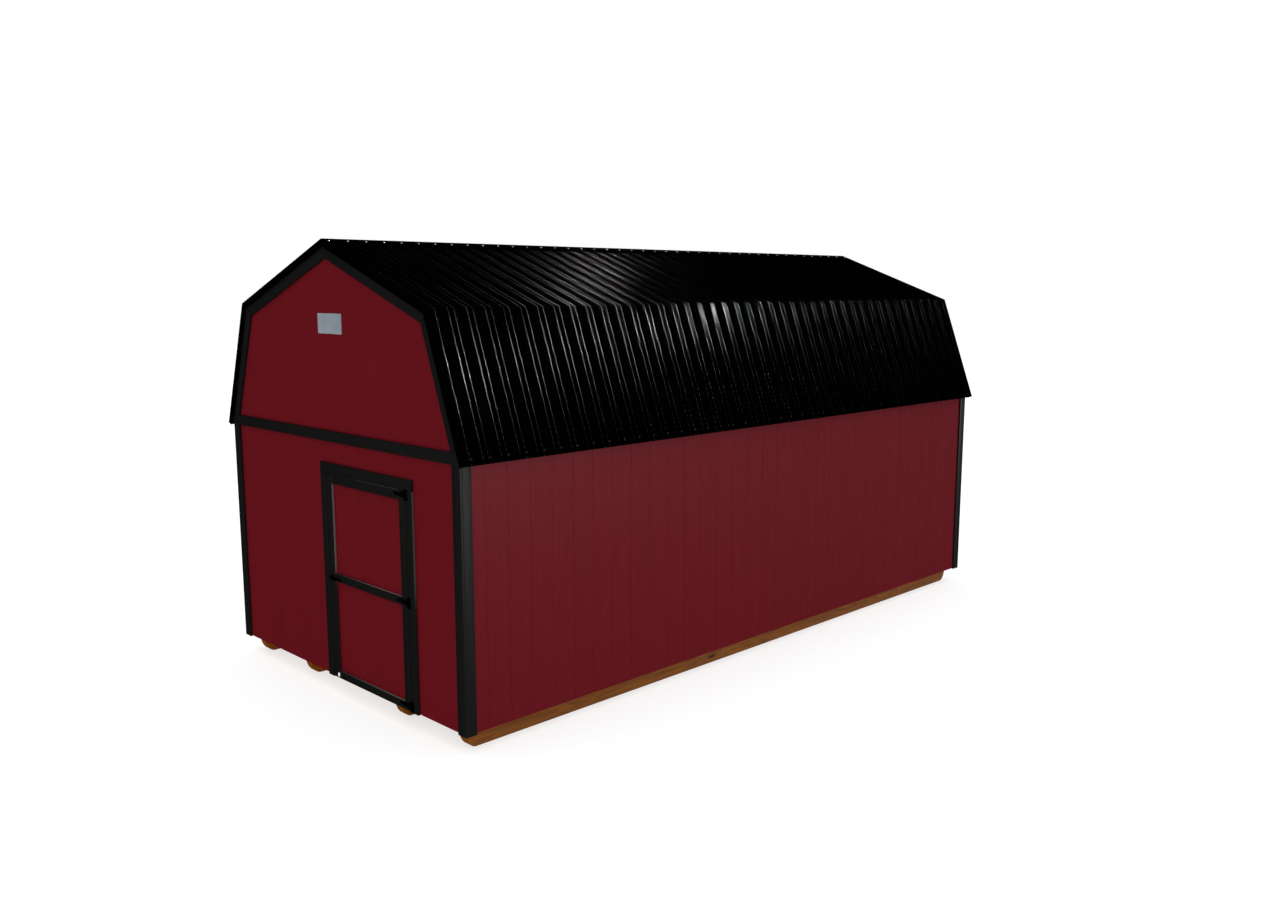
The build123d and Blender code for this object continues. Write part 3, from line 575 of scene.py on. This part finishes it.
line = groove_line(-XW, XW, None, extra=(-KX, 0.0, KX, OPEN[0], OPEN[1]))
grid_panel(
    "front_wall_panels", line, [lambda u: SB, lambda u: OPEN_TOP, gable_top],
    lambda u, j: not (j == 0 and OPEN[0] < u < OPEN[1]),
    lambda u, z, d: (u, -YB + d, z), "structure",
    ("front_siding_left", "front_siding_right", "front_siding_over_door", "front_gable_siding"), M_SIDING,
)
line = groove_line(-XW, XW, None, extra=(-KX, 0.0, KX))
grid_panel(
    "back_wall_panels", line, [lambda u: SB, gable_top], lambda u, j: True,
    lambda u, z, d: (-u, YB - d, z), "structure",
    ("back_wall_siding", "back_gable_siding"), M_SIDING,
)
line = groove_line(DOOR[0], DOOR[1], None)
grid_panel(
    "door_leaf_panel", line, [lambda u: DOOR_Z[0], lambda u: DOOR_Z[1]], lambda u, j: True,
    lambda u, z, d: (u, -YB + d, z), "door", ("door_panel",), M_SIDING,
)

# ---- trim boards -----------------------------------------------------------------------
T0, T1 = ROOF_T + 0.0005, ROOF_T + TW
for gname, gy in (("front", -1), ("back", 1)):
    y0 = gy * YB
    # across runs so that along x across points away from the building
    for_out = Vector((0, gy, 0))

    def on_gable(boards, pts, along, y=y0, out=for_out):
        """pts are (x, z) corners; along is the (x, z) direction of the grain."""
        a = Vector((along[0], 0, along[1])).normalized()
        b = out.cross(a)
        o = Vector((pts[0][0], y, pts[0][1]))
        ol = []
        for x, z in pts:
            d = Vector((x, y, z)) - o
            ol.append((d.dot(a), d.dot(b)))
        boards.add(o, a, b, ol, TRIM)

    rake = Boards()
    for sx in (-1, 1):
        lo = [(low_at_z(BELT[1] + 0.0005, T1), BELT[1] + 0.0005), (low_at_z(BELT[1] + 0.0005, T0), BELT[1] + 0.0005),
              low(low_len - T0 * MITRE - 0.0006, T0), low(low_len - T1 * MITRE - 0.0006, T1)]
        hi = [up(T1 * MITRE + 0.0006, T1), up(T0 * MITRE + 0.0006, T0),
              (0.0006, roof_z(0.0006, T0)), (0.0006, roof_z(0.0006, T1))]
        on_gable(rake, [(sx * x, z) for x, z in lo], (sx * d1[0], d1[1]))
        on_gable(rake, [(sx * x, z) for x, z in hi], (sx * d2[0], d2[1]))
    rake.finish(f"{gname}_rake_trim", M_TRIM_LOCAL, "structure", (f"{gname}_rake_boards",))

    belt = Boards()
    xb = XW + TRIM
    zc = roof_z(xb, T0)
    xt = low_at_z(BELT[1], T0)
    on_gable(belt, [(-xb, BELT[0]), (xb, BELT[0]), (xb, zc), (xt, BELT[1]), (-xt, BELT[1]), (-xb, zc)], (1, 0))
    belt.finish(f"{gname}_belt_trim", M_TRIM_LOCAL, "structure", (f"{gname}_belt_board",))

    corner = Boards()
    zb = SB - 0.006
    for sx in (-1, 1):
        # face board on the gable, lapping over the edge board on the long side
        xa, xo = sx * (XW + TRIM - 0.104), sx * (XW + TRIM)
        on_gable(corner, [(xa, zb), (xo, zb), (xo, BELT[0] - 0.0005), (xa, BELT[0] - 0.0005)], (0, 1))
        a = Vector((0, 0, 1))
        out = Vector((sx, 0, 0))
        b = out.cross(a)
        ys = sorted((gy * (YB - 0.0002), gy * (YB + TRIM - 0.104)))
        o = Vector((sx * XW, 0, zb))
        q = sorted(Vector((0, y, 0)).dot(b) for y in ys)
        corner.add(o, a, b, rect(0, zc - 0.003 - zb, q[0], q[1]), TRIM)
    corner.finish(f"{gname}_corner_trim", M_TRIM_LOCAL, "structure", (f"{gname}_corner_boards",))


def front_board(boards, x0, x1, z0, z1, vertical=True):
    """A trim board on the front gable face or the door leaf."""
    out = Vector((0, -1, 0))
    a = Vector((0, 0, 1)) if vertical else Vector((1, 0, 0))
    b = out.cross(a)
    o = Vector((x0, -YB, z0))
    ol = []
    for x, z in ((x0, z0), (x1, z0), (x1, z1), (x0, z1)):
        d = Vector((x, -YB, z)) - o
        ol.append((d.dot(a), d.dot(b)))
    boards.add(o, a, b, ol, TRIM)


for nm, (x0, x1, z0, z1, vert) in {
    "door_casing_left": (OPEN[0] - TW, OPEN[0], SB - 0.006, OPEN_TOP, True),
    "door_casing_right": (OPEN[1], OPEN[1] + TW, SB - 0.006, OPEN_TOP, True),
    "door_casing_top": (OPEN[0] - TW, OPEN[1] + TW, OPEN_TOP + 0.0004, OPEN_TOP + 0.0004 + TW, False),
}.items():
    bd = Boards()
    front_board(bd, x0, x1, z0, z1, vert)
    # the right casing's +X side gets the painted highlight
    bd.finish(nm.replace("door_casing", "casing_board"), M_TRIM_LOCAL, "structure", (nm,),
              highlight_mat=M_CASING_EDGE_HIGHLIGHT if nm.endswith("right") else None, sides="x")

stiles = Boards()
front_board(stiles, DOOR[0], DOOR[0] + TW, DOOR_Z[0], DOOR_Z[1])
front_board(stiles, DOOR[1] - TW, DOOR[1], DOOR_Z[0], DOOR_Z[1])
# the latch stile's +X side, left of x = 0.5, gets the painted highlight
stiles.finish("leaf_stiles", M_TRIM_LOCAL, "door", ("door_stiles",), highlight_mat=M_STILE_EDGE_HIGHLIGHT, sides="x", highlight_to=0.5)
rails = Boards()
for z0, z1 in ((0.161, 0.228), (1.036, 1.105), (1.895, 1.974)):
    front_board(rails, DOOR[0] + TW + 0.0002, DOOR[1] - TW - 0.0002, z0, z1, False)
# the rails' top edges get the painted highlight
rails.finish("leaf_rails", M_TRIM_LOCAL, "door", ("door_rails",), highlight_mat=M_RAIL_EDGE_HIGHLIGHT, sides="z")

# ---- ribbed roof sheets -------------------------------------------------------------------
PITCH, COUNT = 0.1746, 43
SHEET_Y = YB + OVER - 0.0025
H = 0.019
# half rib, from the foot to the middle of the crown: (y, height, edge)
BEAD_Y, BEAD_R, BEAD_A = 0.0275, 0.020, 15
CROWN_H = H - BEAD_R * (1 - math.cos(math.radians(BEAD_A)))
HALF = [(0.0440, 0.0, 0), (0.0420, 0.0004, 0), (0.0404, 0.0018, 0), (0.0392, 0.0042, 0), (0.0346, 0.0150, 0), (0.0334, 0.0170, 0)]
for k in range(-4, 5):
    a = math.radians(k * BEAD_A / 4)
    HALF.append((BEAD_Y - BEAD_R * math.sin(a), H - BEAD_R * (1 - math.cos(a)), 1))
HALF += [(0.0150, CROWN_H, -1), (0.0075, CROWN_H, -1), (0.0, CROWN_H, -1)]
profile = [(-SHEET_Y, 0.0, 0)]
for k in range(COUNT):
    c = (k - (COUNT - 1) / 2) * PITCH
    row = [(c - y, h, e) for y, h, e in HALF] + [(c + y, h, e) for y, h, e in HALF[-2::-1]]
    for y, h, e in row:
        if abs(y) < SHEET_Y - 0.0004 and y > profile[-1][0] + 1e-5:
            profile.append((y, h, e))
profile.append((SHEET_Y, profile[-1][1] if profile[-1][1] > 0.001 else 0.0, 0))
SHEET_T = 0.0012
for side, sx in (("right", 1), ("left", -1)):
    for part, fn, s0, s1 in (
        ("lower", low, lambda t: 0.001, lambda t: low_len - MITRE * t - 0.0003),
        ("upper", up, lambda t: MITRE * t + 0.0003, lambda t: up_len - 0.010),
    ):
        verts, edge, run, faces = [], [], [], []
        npts = len(profile)
        for s_end in (s0, s1):
            for thick in (0.0, SHEET_T):
                for y, h, e in profile:
                    t = FL + H - h + thick
                    x, z = fn(s_end(t), t)
                    verts.append((sx * x, y, z))
                    edge.append(float(e))
                    run.append(s_end(t))
        A, B, C, D = 0, npts, 2 * npts, 3 * npts     # start top, start under, end top, end under
        for i in range(npts - 1):
            faces.append((A + i, A + i + 1, C + i + 1, C + i))
            faces.append((B + i + 1, B + i, D + i, D + i + 1))
            faces.append((A + i + 1, A + i, B + i, B + i + 1))
            faces.append((C + i, C + i + 1, D + i + 1, D + i))
        faces.append((A, C, D, B))
        faces.append((A + npts - 1, B + npts - 1, D + npts - 1, C + npts - 1))
        sheet = add_mesh(f"{side}_{part}_roof_sheets", verts, faces, M_ROOF, "structure",
                         (f"{side}_{part}_roofing",), smooth_angle=40, attrs={"along": ("FLOAT", run)})
        sheet.data.materials.append(M_RIB[part])
        sheet.data.materials.append(M_CROWN)
        for poly in sheet.data.polygons:
            if len(poly.vertices) == 4:
                e = [edge[v] for v in poly.vertices]
                poly.material_index = 1 if min(e) > 0 else 2 if min(e) < 0 else 0

# eave closures: they fill the ribs' open ends and cover the lowest purlin's edge
for side, sx in (("right", 1), ("left", -1)):
    verts, faces = [], []
    npts = len(profile)
    for s in (0.0042, 0.0072):
        for bottom in (False, True):
            for y, h, e in profile:
                t = 0.0585 if bottom else FL + H - h + SHEET_T + 0.0003
                x, z = low(s, t)
                verts.append((sx * x, y, z))
    A, B, C, D = 0, npts, 2 * npts, 3 * npts
    for i in range(npts - 1):
        faces += [(A + i, A + i + 1, B + i + 1, B + i), (C + i + 1, C + i, D + i, D + i + 1),
                  (A + i + 1, A + i, C + i, C + i + 1), (B + i, B + i + 1, D + i + 1, D + i)]
    faces += [(A, B, D, C), (A + npts - 1, C + npts - 1, D + npts - 1, B + npts - 1)]
    add_mesh(f"{side}_eave_closure", verts, faces, M_FLASH, "structure")

# roof screws: hexagon heads on washers, beside the ribs over each purlin
def hex_screw(bm, centre, normal, along, r=0.0042, rw=0.0075, h=0.0042):
    n = Vector(normal).normalized()
    a = Vector(along).normalized()
    b = n.cross(a)
    rings = []
    for rad, hh, seg in ((rw, 0.0, 12), (rw, 0.0010, 12), (r * 1.25, 0.0016, 12), (r, 0.0018, 12), (r, h, 12), (r * 0.72, h + 0.0006, 12)):
        ring = []
        for k in range(seg):
            ang = 2 * math.pi * k / seg
            rr = rad
            if hh >= 0.0018:        # six flats
                rr = rad * (math.cos(math.pi / 6) / math.cos(((ang + math.pi / 6) % (math.pi / 3)) - math.pi / 6))
            ring.append(bm.verts.new(Vector(centre) + a * (rr * math.cos(ang)) + b * (rr * math.sin(ang)) + n * hh))
        rings.append(ring)
    for r0, r1 in zip(rings, rings[1:]):
        for k in range(12):
            bm.faces.new((r0[k], r0[(k + 1) % 12], r1[(k + 1) % 12], r1[k]))
    bm.faces.new(rings[-1])
    bm.faces.new(rings[0][::-1])


def bm_object(bm, name, mat, body, smooth=35):
    me = bpy.data.meshes.new(name)
    bmesh.ops.recalc_face_normals(bm, faces=bm.faces)
    bm.to_mesh(me)
    bm.free()
    for p in me.polygons:
        p.use_smooth = True
    me.set_sharp_from_angle(angle=math.radians(smooth))
    me.materials.append(mat)
    o = bpy.data.objects.new(name, me)
    bpy.context.scene.collection.objects.link(o)
    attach(o, body)
    return o


for side, sx in (("right", 1), ("left", -1)):
    bm = bmesh.new()
    for fn, n, rows in ((low, n1, (0.052, 0.420, 0.788, 1.136)), (up, n2, (0.078, 0.433, 0.790, 1.148))):
        for s in rows:
            for k in range(COUNT - 1):
                y = (k - (COUNT - 1) / 2) * PITCH + 0.058
                x, z = fn(s, FL + H - 0.0001)
                hex_screw(bm, (sx * x, y, z), (sx * n[0], 0, n[1]), (0, 1, 0))
    bm_object(bm, f"{side}_roof_screws", M_SCREW, "structure")

# ridge cap screws: bare zinc heads, one on every rib along each leg of the cap
bm = bmesh.new()
for sx in (1, -1):
    for k in range(COUNT):
        x, z = up(up_len - 0.060, -0.0001)
        hex_screw(bm, (sx * x, (k - (COUNT - 1) / 2) * PITCH, z), (sx * n2[0], 0, n2[1]), (0, 1, 0))
bm_object(bm, "ridge_cap_screws", M_ZINC, "structure")

# ---- carried-over CAD nodes ------------------------------------------------------------
def paint(node, mat, bevel=None):
    o = NODES[node]
    o.data.materials.clear()
    o.data.materials.append(mat)
    if bevel:
        md = o.modifiers.new("edge", "BEVEL")
        md.width = bevel
        md.segments = 2
        md.limit_method = "ANGLE"
        md.angle_limit = math.radians(50)


for n in ("ridge_cap", "front_rake_flashing", "back_rake_flashing"):
    paint(n, M_FLASH)
for n in ("left_wall_studs", "right_wall_studs", "front_wall_studs", "back_wall_studs", "front_gable_studs", "back_gable_studs"):
    paint(n, M_STUD_Z)
for n in ("left_lower_purlins", "right_lower_purlins", "left_upper_purlins", "right_upper_purlins", "ridge_board"):
    paint(n, M_FRAME_Y)
for n in ("floor_frame", "door_header"):
    paint(n, M_FRAME_X)
for sx, side in ((1, "right"), (-1, "left")):
    for part, d in (("lower", d1), ("upper", d2)):
        ang = math.atan2(d[1], sx * d[0])
        m = bare_wood(f"rafter_{side}_{part}", PINE_L, PINE_D, "object", 0, rot=(0, ang, 0))
        paint(f"{side}_{part}_rafters", m)
paint("floor_deck", M_DECK)
paint("knee_gussets", M_GUSSET)
paint("door_frame", M_STUD_Z)
paint("skids", M_SKID, 0.004)
paint("hinge_leaves", M_HARD, 0.0008)
paint("hinge_straps", M_HARD, 0.0008)
paint("latch_plate", M_HARD)
paint("latch_handle", M_HARD)
paint("door_bumper", M_BUMPER, 0.002)

# ---- gable plate: a bare plate with a rolled rim and four rivets ----------------------------
def plate(name):
    w, h, r = 0.380, 0.170, 0.010
    cx, cz = 0.018, 3.2510

    def ring(inset, y):
        pts = []
        rr = max(r - inset, 0.002)
        for qx, qz, a0 in ((1, 1, 0), (-1, 1, 90), (-1, -1, 180), (1, -1, 270)):
            for k in range(5):
                a = math.radians(a0 + k * 22.5)
                pts.append((cx + qx * (w / 2 - inset - rr) + rr * math.cos(a), -y, cz + qz * (h / 2 - inset - rr) + rr * math.sin(a)))
        return pts

    loops = [ring(0, YB), ring(0, YB + 0.0030), ring(0.0012, YB + 0.0040), ring(0.0050, YB + 0.0040), ring(0.0075, YB + 0.0026)]
    verts, faces = [p for lp in loops for p in lp], []
    k = len(loops[0])
    for a in range(len(loops) - 1):
        for i in range(k):
            j = (i + 1) % k
            faces.append((a * k + i, a * k + j, (a + 1) * k + j, (a + 1) * k + i))
    faces.append(tuple(range((len(loops) - 1) * k, len(loops) * k)))
    faces.append(tuple(range(k))[::-1])
    return add_mesh(name, verts, faces, M_PLATE, "structure", ("gable_plate",), smooth_angle=35)


plate("gable_plate_sheet")
bm = bmesh.new()
for qx in (-1, 1):
    for qz in (-1, 1):
        base = Vector((0.018 + qx * 0.173, -(YB + 0.0026), 3.2510 + qz * 0.068))
        prev = None
        for rad, hh in ((0.0045, 0.0), (0.0042, 0.0006), (0.0028, 0.0011)):
            ring = [bm.verts.new(base + Vector((rad * math.cos(a * math.pi / 6), -hh, rad * math.sin(a * math.pi / 6)))) for a in range(12)]
            if prev:
                for k in range(12):
                    bm.faces.new((prev[k], prev[(k + 1) % 12], ring[(k + 1) % 12], ring[k]))
            else:
                bm.faces.new(ring[::-1])
            prev = ring
        bm.faces.new(prev)
bm_object(bm, "gable_plate_rivets", M_RIVET, "structure", 60)

# ---- hinge and latch screws -------------------------------------------------------------------
def pan_head(bm, centre, r=0.0048, h=0.0018):
    prev = None
    c = Vector(centre)
    for rad, hh in ((r, 0.0), (r, h * 0.45), (r * 0.8, h * 0.85), (r * 0.45, h)):
        ring = [bm.verts.new(c + Vector((rad * math.cos(k * math.pi / 6), -hh, rad * math.sin(k * math.pi / 6)))) for k in range(12)]
        if prev:
            for k in range(12):
                bm.faces.new((prev[k], prev[(k + 1) % 12], ring[(k + 1) % 12], ring[k]))
        else:
            bm.faces.new(ring[::-1])
        prev = ring
    bm.faces.new(prev)


bm = bmesh.new()
for z in HINGE_Z:
    for dx, dz in ((0.014, 0.033), (0.026, 0.033), (0.014, -0.033), (0.026, -0.033), (0.026, 0.011), (0.026, -0.011)):
        pan_head(bm, (HINGE_X + dx, YT - 0.003, z + dz), 0.004)
bm_object(bm, "hinge_leaf_screws", M_SCREW, "structure", 50)
bm = bmesh.new()
for z in HINGE_Z:
    for dx, dz in ((0.026, 0.012), (0.026, -0.012), (0.065, 0.0), (0.105, 0.0), (0.145, 0.0)):
        pan_head(bm, (HINGE_X - dx, YT - 0.003, z + dz))
for dz in (-0.0185, 0.0185):
    pan_head(bm, (LATCH[0], YT - 0.004, LATCH[1] + dz), 0.003)
bm_object(bm, "leaf_hardware_screws", M_SCREW, "door", 50)

# ---- floor, light and camera --------------------------------------------------------------------
me = bpy.data.meshes.new("studio_floor")
me.from_pydata([(-60, -60, -0.0005), (60, -60, -0.0005), (60, 60, -0.0005), (-60, 60, -0.0005)], [], [(0, 1, 2, 3)])
m, nt, b = new_mat("studio_floor_pale")
b.inputs["Base Color"].default_value = (0.42, 0.42, 0.42, 1)
b.inputs["Roughness"].default_value = 0.9
b.inputs["Emission Color"].default_value = (1.0, 1.0, 1.0, 1)
b.inputs["Emission Strength"].default_value = 0.66
b.inputs["Specular IOR Level"].default_value = 0.0
me.materials.append(m)
floor = bpy.data.objects.new("studio_floor", me)
bpy.context.scene.collection.objects.link(floor)
floor.visible_glossy = False

# an even white tent: it lights and fills the view, and glossy black doesn't mirror it
world = bpy.data.worlds.new("studio")
bpy.context.scene.world = world
world.use_nodes = True
wt = world.node_tree
bg = wt.nodes["Background"]
lp = N(wt, "ShaderNodeLightPath")
tc = N(wt, "ShaderNodeTexCoord")
sep = N(wt, "ShaderNodeSeparateXYZ")
wt.links.new(tc.outputs["Generated"], sep.inputs[0])
tent = remap(wt, sep.outputs["Z"], -0.3, 1.0, 0.85, 1.12)
level = math_node(wt, "MAXIMUM", tent, lp.outputs["Is Camera Ray"])
world.cycles_visibility.glossy = False
bg.inputs["Color"].default_value = (1.0, 1.0, 1.0, 1.0)
wt.links.new(level, bg.inputs["Strength"])


def sun(name, towards, energy, angle, diffuse=True, glossy=True):
    l = bpy.data.lights.new(name, "SUN")
    l.energy = energy
    l.angle = math.radians(angle)
    o = bpy.data.objects.new(name, l)
    o.rotation_mode = "QUATERNION"
    o.rotation_quaternion = Vector(towards).to_track_quat("Z", "Y")
    o.visible_diffuse, o.visible_glossy = diffuse, glossy
    bpy.context.scene.collection.objects.link(o)
    return o


sun("top_softbox", (-0.05, -0.15, 1.0), 0.45, 75, glossy=False)
sun("back_right_light", (0.518, 0.751, 0.409), 8.0, 0.7, diffuse=False)
sun("back_left_light", (-0.471, 0.522, 0.711), 8.0, 0.7, diffuse=False)
sun("low_right_softbox", (0.890, 0.446, 0.10), 48.0, 20.0, diffuse=False)

cam = bpy.data.cameras.new("camera")
cam.sensor_width = 36.0
cam.lens = 31.225
cam.clip_start, cam.clip_end = 0.1, 300.0
co = bpy.data.objects.new("camera", cam)
co.location = (8.424, -8.425, 3.555)
co.rotation_mode = "QUATERNION"
co.rotation_quaternion = Vector((-0.6987, 0.6987, -0.1539)).to_track_quat("-Z", "Y")
bpy.context.scene.collection.objects.link(co)
bpy.context.scene.camera = co

sc = bpy.context.scene
sc.view_settings.view_transform = "Standard"
sc.view_settings.look = "None"
sc.view_settings.exposure = 0.0
sc.view_settings.gamma = 1.0
